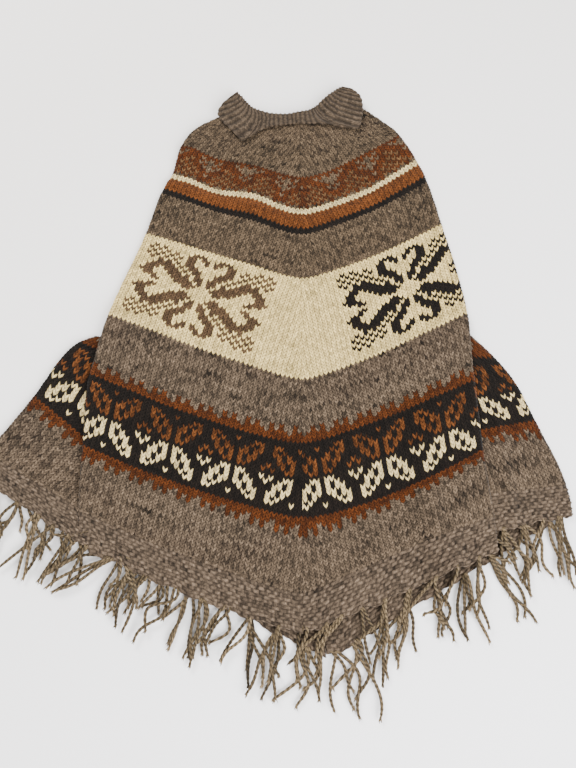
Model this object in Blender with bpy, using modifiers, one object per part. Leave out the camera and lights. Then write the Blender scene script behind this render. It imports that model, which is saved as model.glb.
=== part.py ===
"""Hand-knitted Andean poncho, laid flat on a surface with its front up.

The poncho is a flared tube of bulky handspun alpaca yarn, knitted from the neck down in the
round, with increases at the centre front and centre back that turn every course into a chevron.
Laid flat, it is two layers: the back on the surface, and the front on the back. Each side is a
fold, where the front turns under to the back. Low down the cloth is wider than the flattened
tube, so the front is tucked under itself in a pleat at each side and comes out again as a flare.

All sizes are in millimetres. x runs across, from the centre front line to the right. y runs up
to the neck, from the tip of the front hem. z is the height above the surface.
"""

import math
from collections import namedtuple

import bpy
import numpy as np

MM = 0.001

WALL = 3.0            # thickness of the knitted cloth
SEAM_GAP = 0.9        # between pieces that meet
FOLD_RADIUS = 2.2     # middle of the wall, where cloth turns over on itself
FOLD_DROP = 2 * FOLD_RADIUS
RETURN_LENGTH = 8.0   # cloth of the front that shows on the underside at a side fold
ORIGIN_Y = 380.0      # the part's origin lies this far up the centre front line

BACK_LEVEL = WALL / 2                     # middle of the back's wall
FRONT_LEVEL = BACK_LEVEL + FOLD_DROP + 0.3  # middle of the front's wall

# One row for each course that starts a band, from the neck down. count is the number of
# courses knitted before it. left and right are where it reaches the side fold or pleat, and
# bow is how far the middle of each side lies above the straight line to the centre.
Course = namedtuple("Course", "name count centre_y left_x left_y right_x right_y bow_left bow_right")
FRONT_COURSES = [
    Course("neck", 0, 797, -126, 806, 108, 816, 0, 0),
    Course("shoulder", 8, 755, -165, 783, 144, 786, 0, 0),
    Course("diamond_band", 20, 690, -194, 742, 163, 765, 0, -5),
    Course("white_stripe", 31, 632, -207, 694, 188, 720, 0, -9),
    Course("dark_stripe", 40, 587, -223, 660, 204, 680, -3, -8),
    Course("flower_band", 54, 511, -243, 588, 222, 604, 0, -8),
    Course("lower_grey", 84, 348, -291, 448, 250, 450, -2, -5),
    Course("leaf_band", 98, 277, -306, 371, 251, 367, -17, -14),
    Course("leaf_black", 103, 254, -310, 357, 252, 343, -15, -9),
    Course("leaf_end", 122, 145, -311, 246, 256, 240, -14, -9),
    Course("hem_grey", 127, 118, -311, 224, 257, 224, -10, -6),
    Course("border", 141, 46, -306, 153, 264, 147, -6, 5),
    Course("hem", 151, -2, -285, 98, 266, 101, -7, -1),
]
BORDER_COUNT = 141
HEM_COUNT = 151
FLARE_COUNT = 98      # first course that comes out again beyond a pleat

# How each pleat changes on its way down. tuck is the width hidden under the front, rise is how
# much higher the course comes out than it went in, turn is how far the cloth turns over (1 is
# right over), and tip is where the course ends at the side fold of the flare.
Pleat = namedtuple("Pleat", "count tuck rise turn tip_x tip_y")
LEFT_PLEAT = [
    Pleat(98, 45, 45, 1.0, -308, 415),
    Pleat(103, 42, 43, 1.0, -331, 406),
    Pleat(122, 18, 12, 1.0, -391, 321),
    Pleat(127, 10, 10, 1.0, -403, 303),
    Pleat(134, 1, 5, 1.0, -426, 270),
    Pleat(141, 0, 1, 0.45, -450, 237),
    Pleat(146, 0, 0, 0.0, -461, 223),
    Pleat(151, 0, 0, 0.0, -470, 210),
]
RIGHT_PLEAT = [
    Pleat(98, 45, 50, 1.0, 254, 417),
    Pleat(103, 45, 39, 1.0, 286, 382),
    Pleat(122, 42, 31, 1.0, 337, 285),
    Pleat(127, 40, 28, 1.0, 348, 258),
    Pleat(134, 38, 30, 1.0, 361, 226),
    Pleat(141, 35, 33, 1.0, 371, 192),
    Pleat(146, 33, 30, 1.0, 375, 170),
    Pleat(151, 31, 26, 1.0, 375, 150),
]
LIFT_START, LIFT_END = 74, 90             # courses over which the front rises onto its pleats
RUN_START = 84                            # first course whose return grows into a pleat's run
RAMP_LENGTH = 60                          # width over which it comes down again

# The back's courses, which run the same way; its hem reaches below the front's.
Row = namedtuple("Row", "name centre_x centre_y left_y right_y")
BACK_COURSES = [
    Row("neck", 0, 797, 805, 814),
    Row("shoulder", 0, 755, 783, 786),
    Row("yoke", 0, 690, 742, 765),
    Row("chest", 0, 587, 660, 680),
    Row("waist", 5, 440, 510, 520),
    Row("flare_start", 10, 340, 415, 417),
    Row("flare", 20, 170, 337, 318),
    Row("border", 28, 20, 243, 196),
    Row("hem", 30, -32, 213, 150),
]
BACK_GAP = 1.5        # between the back's edge and the front's return, on the underside

# Creases and soft swellings of the laid front: a line from start to end, with a bell-shaped
# section. A negative height is a trough.
Crease = namedtuple("Crease", "x0 y0 x1 y1 width height")
CREASES = [
    Crease(172, 165, 202, 45, 24, 7),     # swelling beside the right pleat, down to the hem
    Crease(205, 225, 198, 150, 11, -2),
    Crease(136, 118, 168, 50, 10, -3),    # the sharp trough at its edge
    Crease(0, 360, 4, 40, 30, 2.5),       # the centre front, where the increases lie
    Crease(-215, 300, -110, 150, 48, 3),
    Crease(-150, 620, -70, 560, 55, 2.5),
    Crease(110, 600, 40, 470, 50, 2.5),
    Crease(282, 255, 292, 150, 9, 3),     # narrow second fold in the right flare
    Crease(-370, 260, -395, 190, 28, 3),
    Crease(-95, 60, -88, 20, 26, 3),      # the hem stands up in a few places
    Crease(60, 50, 66, 5, 24, 3),
]

# The turned-down collar: fold is its top edge, free is the edge that lies on the yoke, free_lift
# is how far that edge stands off it, and seam_x is where the rib is knitted onto the neck.
Rib = namedtuple("Rib", "fold_x fold_y free_x free_y free_lift seam_x")
COLLAR = [
    Rib(-104, 853, -138, 812, 0.5, -121),
    Rib(-99, 843, -121, 787, 1.0, -108),
    Rib(-92, 835, -97, 754, 2.5, -92),
    Rib(-75, 819, -73, 777, 1.5, -74),
    Rib(-50, 813, -46, 782, 2.0, -50),
    Rib(-22, 812, -20, 786, 0.5, -22),
    Rib(0, 817, 2, 788, 0.0, 0),
    Rib(20, 821, 28, 785, 2.0, 20),
    Rib(38, 837, 56, 779, 2.5, 42),
    Rib(50, 848, 79, 773, 1.0, 64),
    Rib(60, 859, 93, 795, 0.5, 84),
    Rib(64, 863, 97, 828, 0.5, 102),
]
BACK_COLLAR_DROP = 4.0                    # the back's fold edge hides behind the front's
COLLAR_LIFT_START, COLLAR_LIFT_END = 700, 746   # the body rises over the collar's underside

FRINGE_REACH = 85.0
FRINGE_WALL = 2.6

GREY = (0.17, 0.12, 0.085)
FRINGE_TAN = (0.24, 0.18, 0.115)


def smoothstep(value):
    """0 below 0, 1 above 1, and an S-shaped rise between."""
    t = min(1.0, max(0.0, value))
    return t * t * (3 - 2 * t)


def curve_through(table, key, position):
    """A smooth curve through one column of a table, read at a position in the key column."""
    knots = np.array([getattr(row, key) for row in table], float)
    at = float(np.clip(position, knots[0], knots[-1]))
    k = int(np.clip(np.searchsorted(knots, at, side="right") - 1, 0, len(knots) - 2))
    t = (at - knots[k]) / (knots[k + 1] - knots[k])
    result = {}
    for column in table[0]._fields:
        if isinstance(getattr(table[0], column), str):
            continue
        values = np.array([getattr(row, column) for row in table], float)
        slopes = np.gradient(values, knots)
        span = knots[k + 1] - knots[k]
        result[column] = float(
            (1 + 2 * t) * (1 - t) ** 2 * values[k]
            + t * (1 - t) ** 2 * slopes[k] * span
            + t * t * (3 - 2 * t) * values[k + 1]
            + t * t * (t - 1) * slopes[k + 1] * span
        )
    return result


def creases_at(x, y):
    """Height that the creases add to the front at a place, never below the flat cloth."""
    height = 0.0
    for crease in CREASES:
        run_x, run_y = crease.x1 - crease.x0, crease.y1 - crease.y0
        length = math.hypot(run_x, run_y)
        along = ((x - crease.x0) * run_x + (y - crease.y0) * run_y) / length
        across = ((x - crease.x0) * run_y - (y - crease.y0) * run_x) / length
        beyond = max(0.0, -along, along - length)
        height += crease.height * math.exp(-((across / crease.width) ** 2) - (beyond / 35) ** 2)
    return max(0.0, height)


def collar_lift(y):
    """How far the body is raised near the neck, by the collar folded under it."""
    return FOLD_DROP * smoothstep((y - COLLAR_LIFT_START) / (COLLAR_LIFT_END - COLLAR_LIFT_START))


def front_height(x, y):
    """Middle of the front's wall where it lies on the back in a single layer."""
    return FRONT_LEVEL + collar_lift(y) + creases_at(x, y)


def pleat_drop(turn):
    """Height lost where the cloth turns over by turn, and turns back again."""
    return 2 * FOLD_RADIUS * (1 - math.cos(math.pi * turn))


def side_points(count, side):
    """One course from the centre line outwards on one side: main cloth, pleat, flare, side fold."""
    course = curve_through(FRONT_COURSES, "count", count)
    name = "left" if side < 0 else "right"
    edge_x = course[name + "_x"] * side - FOLD_RADIUS - WALL / 2
    edge_y = course[name + "_y"]
    bow = course["bow_" + name]
    flared = count >= FLARE_COUNT
    pleat = curve_through(LEFT_PLEAT if side < 0 else RIGHT_PLEAT, "count", count)
    nearing = smoothstep((count - RUN_START) / (FLARE_COUNT - RUN_START))
    turn = math.pi * (pleat["turn"] if flared else 1.0)
    lift = pleat_drop(pleat["turn"]) if flared else 2 * FOLD_DROP * smoothstep(
        (count - LIFT_START) / (LIFT_END - LIFT_START)
    )
    plateau = pleat["tuck"] + 8

    points = []
    for i in range(MAIN_STEPS + 1):
        share = i / MAIN_STEPS
        x = edge_x * share
        y = course["centre_y"] + (edge_y - course["centre_y"]) * share + 4 * bow * share * (1 - share)
        ramp = 1 - smoothstep((edge_x - x - plateau) / RAMP_LENGTH)
        points.append((x, y, front_height(side * x, y) + lift * ramp))

    def roll(x, y, z, start, end):
        """Adds an arc that turns the cloth from one heading to another, both from the horizontal."""
        bend = 1 if end > start else -1
        unfolded = 1 - abs(end - start) / math.pi
        for k in range(1, ROLL_STEPS + 1):
            angle = start + (end - start) * k / ROLL_STEPS
            dx = bend * FOLD_RADIUS * (math.sin(angle) - math.sin(start)) + unfolded * k
            dz = bend * FOLD_RADIUS * (math.cos(angle) - math.cos(start))
            points.append((x + dx, y, z + dz))
        return points[-1]

    x, y, z = points[-1]
    if flared:
        x, y, z = roll(x, y, z, 0, turn)
        tuck = max(pleat["tuck"], 1.0)
        x, y, z = x + tuck * math.cos(turn), y + pleat["rise"], z - tuck * math.sin(turn)
        points.append((x, y, z))
        x, y, z = roll(x, y, z, turn, 0)
        tip_x = pleat["tip_x"] * side - FOLD_RADIUS - WALL / 2
        start_x, start_y = x, y
        for i in range(1, FLARE_STEPS + 1):
            x = start_x + (tip_x - start_x) * i / FLARE_STEPS
            y = start_y + (pleat["tip_y"] - start_y) * max(0, x - edge_x) / (tip_x - edge_x)
            points.append((x, y, front_height(side * x, y)))
        fall = RETURN_LENGTH * (points[-1][1] - points[-2][1]) / (points[-1][0] - points[-2][0])
        x, y, z = roll(x, y, points[-1][2], 0, math.pi)
        points.append((x - RETURN_LENGTH, y - fall, z))
    else:
        fall = RETURN_LENGTH * (points[-1][1] - points[-2][1]) / (points[-1][0] - points[-2][0])
        x, y, z = roll(x, y, z, 0, math.pi)
        length = RETURN_LENGTH + (pleat["tuck"] - RETURN_LENGTH) * nearing
        points.append((x - length, y + pleat["rise"] * nearing - fall * (1 - nearing), z))
    return [(side * px, py, pz) for px, py, pz in points]


def front_rows(counts):
    """The courses of the front, each a dictionary of column number to point."""
    rows = []
    for count in counts:
        right = side_points(count, 1)
        left = side_points(count, -1)
        row = {column: point for column, point in enumerate(right)}
        row.update({-column: point for column, point in enumerate(left)})
        row[0] = right[0]
        rows.append(row)
    return rows


def return_edge(side):
    """Where the front's return ends on the underside, as heights up the cloth and places across."""
    counts = [*range(0, LIFT_START + 9, 4), *range(FLARE_COUNT, HEM_COUNT + 1, 3), HEM_COUNT]
    ends = [side_points(count, side)[-1] for count in reversed(counts)]
    return [end[1] for end in ends], [end[0] for end in ends]


def back_rows(shares):
    """Rows of the back, from the neck at share 0 to the hem at 1."""
    table = BACK_COURSES
    edges = {side: return_edge(side) for side in (-1, 1)}
    rows = []
    for share in shares:
        place = share * (len(table) - 1)
        k = min(int(place), len(table) - 2)
        t = place - k
        at = {f: (1 - t) * getattr(table[k], f) + t * getattr(table[k + 1], f)
              for f in Row._fields if f != "name"}
        row = {}
        for column in range(-BACK_STEPS, BACK_STEPS + 1):
            out = abs(column) / BACK_STEPS
            side = -1 if column < 0 else 1
            end_y = at["left_y"] if column < 0 else at["right_y"]
            end_x = np.interp(end_y, *edges[side]) - side * BACK_GAP
            x = at["centre_x"] + (end_x - at["centre_x"]) * out
            y = at["centre_y"] + (end_y - at["centre_y"]) * out
            row[column] = (x, y, BACK_LEVEL + collar_lift(y))
        rows.append(row)
    return rows


def collar_rows(upside, drop, plain):
    """Sections of the collar: the fall from its free edge to the fold, then the stand to the seam.

    upside is 1 on the front and -1 on the back, where the fall lies underneath. drop lowers the
    edges, and plain keeps the fall short and even, with no points.
    """
    stand_level = (FRONT_LEVEL if upside > 0 else BACK_LEVEL) + FOLD_DROP
    columns = [{} for _ in range(2 * COLLAR_STEPS + ROLL_STEPS + 1)]
    neck = side_points(0, -1)[MAIN_STEPS], side_points(0, 0)[0], side_points(0, 1)[MAIN_STEPS]
    for j, rib in enumerate(COLLAR):
        neck_y = np.interp(rib.seam_x, [p[0] for p in neck], [p[1] for p in neck])
        fold = np.array([rib.fold_x, rib.fold_y - drop])
        free = np.array([rib.free_x, rib.free_y])
        seam = np.array([rib.seam_x, neck_y + SEAM_GAP * (1 if upside > 0 else 2)])
        if plain:
            free = seam + (fold - seam) * -0.75
        run = fold - free
        length = float(np.hypot(*run))
        heading = run / length
        top = fold - heading * (FOLD_RADIUS + WALL / 2)
        fall_level = stand_level + upside * FOLD_DROP
        free_lift = 0.0 if plain else rib.free_lift
        section = []
        for i in range(COLLAR_STEPS):
            share = i / COLLAR_STEPS
            place = free + (top - free) * share
            section.append((*place, fall_level + free_lift * (1 - share) ** 2))
        for k in range(ROLL_STEPS + 1):
            angle = math.pi * k / ROLL_STEPS
            place = top + heading * FOLD_RADIUS * math.sin(angle)
            section.append((*place, stand_level + upside * FOLD_RADIUS * (1 + math.cos(angle))))
        for i in range(1, COLLAR_STEPS + 1):
            place = top + (seam - top) * i / COLLAR_STEPS
            section.append((*place, stand_level))
        for i, point in enumerate(section):
            columns[i][j] = point
    return columns


def make_material(name, colour):
    material = bpy.data.materials.new(name)
    material.use_nodes = True
    shader = material.node_tree.nodes["Principled BSDF"]
    shader.inputs["Base Color"].default_value = (*colour, 1.0)
    shader.inputs["Roughness"].default_value = 0.95
    shader.inputs["Metallic"].default_value = 0.0
    return material


def cloth_wall(name, rows, colour, thickness=WALL):
    """A knitted wall: an open surface through rows of points, given its thickness by Solidify."""
    number, vertices, faces = {}, [], []
    for i, row in enumerate(rows):
        for j, (x, y, z) in row.items():
            number[i, j] = len(vertices)
            vertices.append((x * MM, (y - ORIGIN_Y) * MM, z * MM))
    for i in range(len(rows) - 1):
        for j in rows[i]:
            corners = [(i, j), (i + 1, j), (i + 1, j + 1), (i, j + 1)]
            if all(corner in number for corner in corners):
                faces.append([number[corner] for corner in corners])
    mesh = bpy.data.meshes.new(name)
    mesh.from_pydata(vertices, [], faces)
    mesh.materials.append(make_material(name, colour))
    piece = bpy.data.objects.new(name, mesh)
    COLLECTION.objects.link(piece)
    solidify = piece.modifiers.new("wall", "SOLIDIFY")
    solidify.thickness = thickness * MM
    solidify.offset = 0.0
    solidify.use_even_offset = True
    return piece


def fringe(name, hem, columns, level):
    """A plain slab of the fringe's reach, straight down from some columns of a hem."""
    line = [hem[column] for column in columns]
    upper = {j: (x, y - SEAM_GAP, z) for j, (x, y, z) in enumerate(line)}
    lower = {j: (x, y - FRINGE_REACH, level) for j, (x, y, z) in enumerate(line)}
    return cloth_wall(name, [upper, lower], FRINGE_TAN, FRINGE_WALL)


for old in list(bpy.data.objects):
    bpy.data.objects.remove(old)
COLLECTION = bpy.data.collections.new("andean_poncho")
bpy.context.scene.collection.children.link(COLLECTION)

MAIN_STEPS = 10       # faces across each half of the front, up to its pleat
ROLL_STEPS = 5        # faces round a half turn
FLARE_STEPS = 4
BACK_STEPS = 8
COLLAR_STEPS = 3

# The body of the front, and the moss-stitch border at its hem.
seam = SEAM_GAP / 10      # half the gap, in courses
upper_counts = np.linspace(0, FLARE_COUNT - 2, 14)
lower_counts = np.linspace(FLARE_COUNT, BORDER_COUNT - seam, 9)
front = front_rows([*upper_counts, *lower_counts])
cloth_wall("front", front, GREY)
border_front = front_rows(np.linspace(BORDER_COUNT + seam, HEM_COUNT, 4))
cloth_wall("border_front", border_front, GREY)

# The back and its border, in the same rows.
border_share = 1 - 1 / (len(BACK_COURSES) - 1)
cloth_wall("back", back_rows(np.linspace(0, border_share - 0.0012, 15)), GREY)
border_back = back_rows(np.linspace(border_share + 0.0012, 1, 3))
cloth_wall("border_back", border_back, GREY)

# The ribbed collar, turned down over the front and under the back.
cloth_wall("collar_front", collar_rows(1, 0.0, False), GREY)
cloth_wall("collar_back", collar_rows(-1, BACK_COLLAR_DROP, True), GREY)

# The fringe, as plain slabs of its reach, from the flares and from between the pleats.
flare_first = MAIN_STEPS + 2 * ROLL_STEPS + 2
flare_last = flare_first + FLARE_STEPS - 1
left_flare = range(-flare_last, 2 - flare_first)
right_flare = range(flare_first, flare_last + 1)
between = range(-MAIN_STEPS, MAIN_STEPS + 1)
fringe("fringe_front", border_front[-1], [*left_flare, *between], FRONT_LEVEL)
fringe("fringe_side", border_front[-1], right_flare, FRONT_LEVEL)
fringe("fringe_back", border_back[-1], range(-BACK_STEPS, BACK_STEPS + 1), BACK_LEVEL)
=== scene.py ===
"""The looks of a hand-knitted Andean poncho, laid flat with its front up."""

import math
from collections import namedtuple

import bpy
import numpy as np
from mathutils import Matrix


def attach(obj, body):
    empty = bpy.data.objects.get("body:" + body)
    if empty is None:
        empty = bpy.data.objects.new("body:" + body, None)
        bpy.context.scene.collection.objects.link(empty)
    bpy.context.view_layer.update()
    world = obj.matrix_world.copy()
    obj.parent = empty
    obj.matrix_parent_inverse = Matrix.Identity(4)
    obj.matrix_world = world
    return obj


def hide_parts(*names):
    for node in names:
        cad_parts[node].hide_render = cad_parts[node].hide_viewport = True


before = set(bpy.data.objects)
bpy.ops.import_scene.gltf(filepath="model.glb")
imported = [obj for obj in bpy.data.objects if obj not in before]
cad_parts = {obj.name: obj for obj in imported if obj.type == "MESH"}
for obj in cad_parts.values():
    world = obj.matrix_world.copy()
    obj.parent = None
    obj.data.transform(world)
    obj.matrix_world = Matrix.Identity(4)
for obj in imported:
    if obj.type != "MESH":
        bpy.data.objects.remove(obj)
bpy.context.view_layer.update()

# ---------------------------------------------------------------------------------------------
# The front of the body. It is stocking stitch in bulky two-ply handspun wool, knitted from the
# neck down in the round, with coloured bands worked from charts. It lies on the back, turns
# under it at each side fold, and low down is tucked under itself in a pleat on each side.
# All sizes here are in millimetres, on the same lines as the solid's: x from the centre front,
# y from the tip of the front hem, and z from the surface.
# ---------------------------------------------------------------------------------------------
MM = 0.001
ORIGIN_Y = 380.0
WALL = 3.0
FOLD_RADIUS = 2.2
FOLD_DROP = 2 * FOLD_RADIUS
FRONT_LEVEL = WALL / 2 + FOLD_DROP + 0.3
RETURN_LENGTH = 8.0
LIFT_START, LIFT_END, RUN_START, FLARE_COUNT = 74, 90, 84, 98
RAMP_LENGTH = 60
STRIPE_SWELL = 2.6            # how far the tight brown stripe rolls up from the cloth
CHEVRON_ROUND = 14.0          # how far from the centre line each course turns its point
RISE_Y, RISE_RUN = 700, 46    # where the cloth rises over the collar's hidden half, and how soon

Course = namedtuple("Course", "name count centre_y left_x left_y right_x right_y bow_left bow_right")
FRONT_COURSES = [
    Course("neck", 0, 797, -126, 806, 108, 816, 0, 0),
    Course("shoulder", 8, 755, -165, 783, 144, 786, 0, 0),
    Course("diamond_band", 20, 690, -194, 742, 163, 765, 0, -5),
    Course("white_stripe", 31, 632, -207, 694, 188, 720, 0, -9),
    Course("shaded_upper_grey", 40, 587, -223, 660, 204, 680, -3, -8),
    Course("flower_band", 54, 511, -243, 588, 222, 604, 0, -8),
    Course("lower_grey", 84, 348, -291, 448, 250, 450, -2, -5),
    Course("leaf_band", 98, 277, -306, 371, 251, 367, -9, -8),
    Course("leaf_black", 103, 252, -310, 353, 252, 343, -8, -4),
    Course("leaf_end", 122, 147, -311, 246, 256, 240, -7, -11),
    Course("hem_grey", 127, 120, -311, 224, 257, 224, -4, -8),
    Course("border", 141, 46, -306, 153, 264, 147, -6, 5),
    Course("hem", 151, -2, -285, 98, 266, 101, -7, -1),
]
START = {course.name: course.count for course in FRONT_COURSES}
BORDER_COUNT, HEM_COUNT = START["border"], START["hem"]

Pleat = namedtuple("Pleat", "count tuck rise turn tip_x tip_y")
PLEATS = {
    -1: [
        Pleat(98, 45, 45, 1.0, -308, 415),
        Pleat(103, 42, 43, 1.0, -331, 406),
        Pleat(122, 18, 12, 1.0, -391, 321),
        Pleat(127, 10, 10, 1.0, -403, 303),
        Pleat(134, 1, 5, 1.0, -426, 270),
        Pleat(141, 0, 1, 0.45, -450, 237),
        Pleat(146, 0, 0, 0.0, -461, 223),
        Pleat(151, 0, 0, 0.0, -470, 210),
    ],
    1: [
        Pleat(98, 45, 50, 1.0, 254, 417),
        Pleat(103, 45, 39, 1.0, 286, 382),
        Pleat(122, 42, 31, 1.0, 337, 285),
        Pleat(127, 40, 28, 1.0, 348, 258),
        Pleat(134, 38, 30, 1.0, 361, 226),
        Pleat(141, 35, 33, 1.0, 371, 192),
        Pleat(146, 33, 30, 1.0, 375, 170),
        Pleat(151, 31, 26, 1.0, 375, 150),
    ],
}

# Columns of stitches run beside the side fold, and below it they lean out as the body widens.
Lean = namedtuple("Lean", "count left right")
COLUMN_LINES = [
    Lean(0, 126, 108), Lean(20, 190, 153), Lean(40, 221, 195), Lean(54, 243, 213),
    Lean(84, 290, 243), Lean(98, 304, 256), Lean(122, 328, 276), Lean(141, 347, 291),
    Lean(151, 356, 298),
]

Crease = namedtuple("Crease", "x0 y0 x1 y1 width height")
CREASES = [
    Crease(172, 165, 202, 45, 24, 9),
    Crease(205, 225, 198, 150, 11, -2),
    Crease(136, 118, 168, 40, 9, -5),
    Crease(0, 360, 4, 40, 30, 2.5),
    Crease(-215, 300, -110, 150, 48, 3),
    Crease(-150, 620, -70, 560, 55, 2.5),
    Crease(110, 600, 40, 470, 50, 2.5),
    Crease(282, 255, 292, 150, 9, 3),
    Crease(-370, 260, -395, 190, 28, 3),
    Crease(-95, 60, -88, 20, 26, 3),
    Crease(60, 50, 66, 5, 24, 3),
]


# Where the courses of the upper front wander from their line, up or down.
Drift = namedtuple("Drift", "x y width height rise")
DRIFTS = [
    Drift(-72, 655, 30, 60, 7), Drift(-135, 690, 26, 55, -5), Drift(-178, 730, 22, 45, 5),
    Drift(50, 700, 30, 40, -2), Drift(110, 660, 35, 60, -3),
]


def smoothstep(value):
    """0 below 0, 1 above 1, and 3 t squared minus 2 t cubed between."""
    t = np.clip(value, 0, 1)
    return t * t * (3 - 2 * t)


def rounded(s):
    """Distance from the centre line, less near it: the hypotenuse with a length, less that length."""
    return np.hypot(s, CHEVRON_ROUND) - CHEVRON_ROUND


def collar_rise(y):
    """How far the cloth rises over the collar's hidden half, at a height up the cloth."""
    return FOLD_DROP * smoothstep((y - RISE_Y) / RISE_RUN)


def hermite(values, slopes, k, t, span=1.0):
    """The cubic from row k to the next, a share t of the way, that meets both rows' slopes."""
    return (
        (1 + 2 * t) * (1 - t) ** 2 * values[k]
        + t * (1 - t) ** 2 * slopes[k] * span
        + t * t * (3 - 2 * t) * values[k + 1]
        + t * t * (t - 1) * slopes[k + 1] * span
    )


def along(table, column, at):
    """A cubic through one column of a table, read at counts, with slopes from the rows beside."""
    knots = np.array([row.count for row in table], float)
    values = np.array([getattr(row, column) for row in table], float)
    slopes = np.gradient(values, knots)
    at = np.clip(at, knots[0], knots[-1])
    k = np.clip(np.searchsorted(knots, at, side="right") - 1, 0, len(knots) - 2)
    span = knots[k + 1] - knots[k]
    return hermite(values, slopes, k, (at - knots[k]) / span, span)


def front_height(x, y):
    """Middle of the front's wall: its level, the collar's lift, and a bell across each crease."""
    creases = np.zeros_like(x)
    for crease in CREASES:
        run_x, run_y = crease.x1 - crease.x0, crease.y1 - crease.y0
        length = math.hypot(run_x, run_y)
        ahead = ((x - crease.x0) * run_x + (y - crease.y0) * run_y) / length
        across = ((x - crease.x0) * run_y - (y - crease.y0) * run_x) / length
        beyond = np.maximum(0, np.maximum(-ahead, ahead - length))
        creases += crease.height * np.exp(-((across / crease.width) ** 2) - (beyond / 35) ** 2)
    return FRONT_LEVEL + collar_rise(y) + np.maximum(0, creases)


def laid_front(side, count, across):
    """Where the middle of the front's wall lies, for a course and a distance from the centre line.

    The distance is measured across the unfolded cloth. Up to the edge the course runs straight
    up, with its point rounded. Then come an arc under, the pleat's hidden run, an arc back, the
    flare, the arc of its side fold, and the return on the underside. Above the pleat there is
    only the first arc and the return.
    """
    name = "left" if side < 0 else "right"
    centre_y = along(FRONT_COURSES, "centre_y", count)
    edge = np.abs(along(FRONT_COURSES, name + "_x", count)) - FOLD_RADIUS - WALL / 2
    edge_y = along(FRONT_COURSES, name + "_y", count)
    bow = along(FRONT_COURSES, "bow_" + name, count)
    pleats = PLEATS[side]
    tuck, rise = along(pleats, "tuck", count), along(pleats, "rise", count)
    flared = count >= FLARE_COUNT
    turn = math.pi * np.clip(np.where(flared, along(pleats, "turn", count), 1.0), 0, 1)
    lift = np.where(
        flared,
        FOLD_DROP * (1 - np.cos(turn)),
        2 * FOLD_DROP * smoothstep((count - LIFT_START) / (LIFT_END - LIFT_START)),
    )
    nearing = np.where(flared, 1.0, smoothstep((count - RUN_START) / (FLARE_COUNT - RUN_START)))
    run = np.maximum(RETURN_LENGTH + (tuck - RETURN_LENGTH) * nearing, 1.0)
    run = np.where(flared, np.maximum(tuck, 1.0), run)
    unfolded = 5 * (1 - turn / math.pi)
    arc = FOLD_RADIUS * turn + unfolded
    half = FOLD_RADIUS * math.pi
    start_x = edge + 2 * FOLD_RADIUS * np.sin(turn) + 2 * unfolded + run * np.cos(turn)
    tip = np.abs(along(pleats, "tip_x", count)) - FOLD_RADIUS - WALL / 2
    tip_y = along(pleats, "tip_y", count)
    flare = np.maximum(tip - start_x, 1.0)
    ends = np.cumsum([edge, arc, run, arc, flare, np.full_like(edge, half)], axis=0)

    s = np.clip(across, 0, edge)
    t = s / edge
    y_main = centre_y + (edge_y - centre_y) * rounded(s) / rounded(edge) + 4 * bow * t * (1 - t)
    for drift in DRIFTS:
        bell = ((side * s - drift.x) / drift.width) ** 2 + ((y_main - drift.y) / drift.height) ** 2
        y_main = y_main + drift.rise * np.exp(-bell)
    ramp = 1 - smoothstep((edge - s - tuck - 8) / RAMP_LENGTH)
    z_main = front_height(side * s, y_main) + lift * ramp
    z_main = z_main + STRIPE_SWELL * np.exp(-(((count - 35.6) / 2.3) ** 2))

    first = np.clip((across - ends[0]) / arc, 0, 1)
    angle = first * turn
    x1 = s + FOLD_RADIUS * np.sin(angle) + unfolded * first
    z1 = z_main - FOLD_RADIUS * (1 - np.cos(angle))
    hidden = np.clip(across - ends[1], 0, run)
    x2 = x1 + hidden * np.cos(turn)
    z2 = z1 - hidden * np.sin(turn)
    fall = (edge_y - centre_y) / edge * hidden
    y2 = y_main + rise * nearing * hidden / run - fall * (1 - nearing)

    second = np.clip((across - ends[2]) / arc, 0, 1)
    angle = turn * (1 - second)
    x3 = start_x - FOLD_RADIUS * np.sin(angle) - unfolded * (1 - second)
    level = front_height(side * x3, y2)
    z3 = level + FOLD_RADIUS * (1 - np.cos(angle))
    out = np.clip(across - ends[3], 0, flare)
    x4 = start_x + out
    y4 = edge_y + rise + (tip_y - edge_y - rise) * np.maximum(0, x4 - edge) / (tip - edge)
    z4 = front_height(side * x4, y4)
    last = np.clip((across - ends[4]) / half, 0, 1) * math.pi
    x5 = x4 + FOLD_RADIUS * np.sin(last)
    z5 = z4 - FOLD_RADIUS * (1 - np.cos(last))
    back = np.clip(across - ends[5], 0, RETURN_LENGTH)
    slope = (tip_y - edge_y - rise) / (tip - edge)

    region = [across < ends[2], across < ends[3]]
    x = np.select(region, [x2, x3], x5 - back)
    y = np.select(region, [y2, y2], y4 - slope * back)
    z = np.select(region, [z2, z3], z5)
    return np.stack([side * x, y, z], axis=-1), ends


def knit_relief(u, v, w, c):
    """Height of stocking stitch over the wall, from -1 in its grooves to 0 on its crests.

    u runs across a stitch and v up it, each from 0 to 1, v along the slant of its two legs. A leg
    is round across its slant, lowest where it meets the leg above, and it dips deeply between
    columns of stitches and a little in the middle of the V.
    """
    leg = np.sqrt(np.clip(np.sin(math.pi * v), 0, 1))
    column = 0.5 - 0.5 * np.cos(4 * math.pi * u)
    dip = np.where(np.abs(u - 0.5) < 0.25, 0.5, 1.0)
    return 0.5 * (leg - 1) - 0.5 * dip * (1 - column)


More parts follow.
